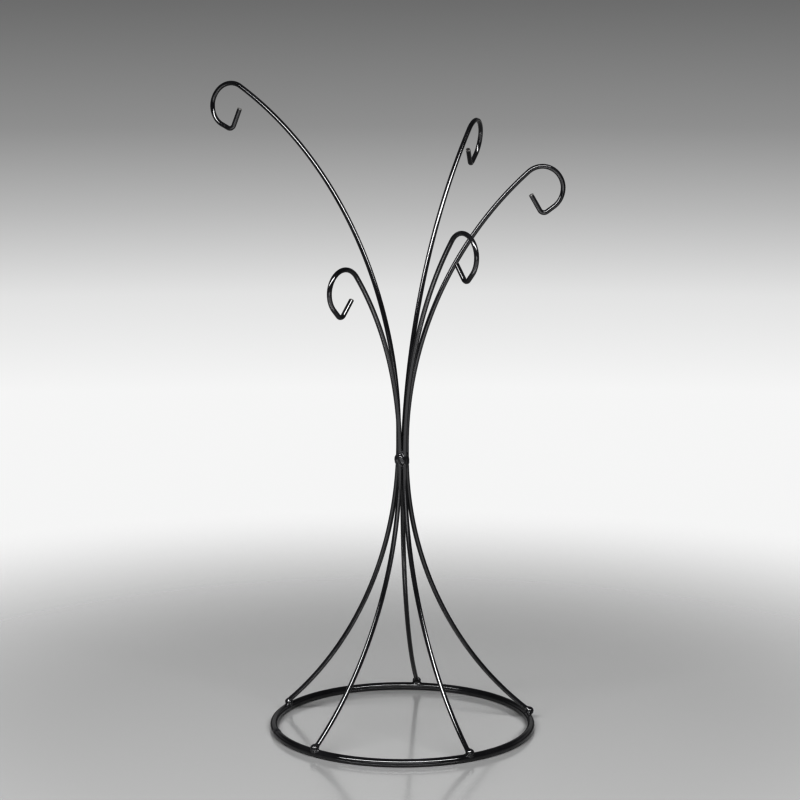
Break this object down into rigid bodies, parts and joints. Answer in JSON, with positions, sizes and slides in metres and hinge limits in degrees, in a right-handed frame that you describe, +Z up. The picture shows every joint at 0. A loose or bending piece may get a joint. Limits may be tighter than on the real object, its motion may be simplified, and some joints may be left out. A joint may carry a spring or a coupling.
{
  "type": "wire mug tree",
  "caption": "Free-standing tree of bent steel wires welded at the waist and onto a round base ring; each wire ends in a hook for a mug or ornament.",
  "frame": {"origin": "centre of the base ring, on the surface that the tree stands on", "axes": "+Z up; +X to the right of the tree as it is usually seen, +Y to the back"},
  "size_m": [0.1876, 0.1454, 0.3372],
  "materials": {
    "wire_coat": "glossy black baked enamel over drawn steel wire",
    "weld_coat": "glossy black baked enamel, pooled over weld beads"
  },
  "bodies": {
    "root": {"base_ring": "wire_coat", "ring_butt_weld": "weld_coat", "wire_left": "wire_coat", "wire_back": "wire_coat", "wire_right": "wire_coat", "wire_front_right": "wire_coat", "wire_front_left": "wire_coat", "foot_weld_left": "weld_coat", "foot_weld_back": "weld_coat", "foot_weld_right": "weld_coat", "foot_weld_front_right": "weld_coat", "foot_weld_front_left": "weld_coat", "waist_weld_left": "weld_coat", "waist_weld_back_left": "weld_coat", "waist_weld_back_right": "weld_coat", "waist_weld_right": "weld_coat", "waist_weld_front": "weld_coat"}
  },
  "joints": []
}
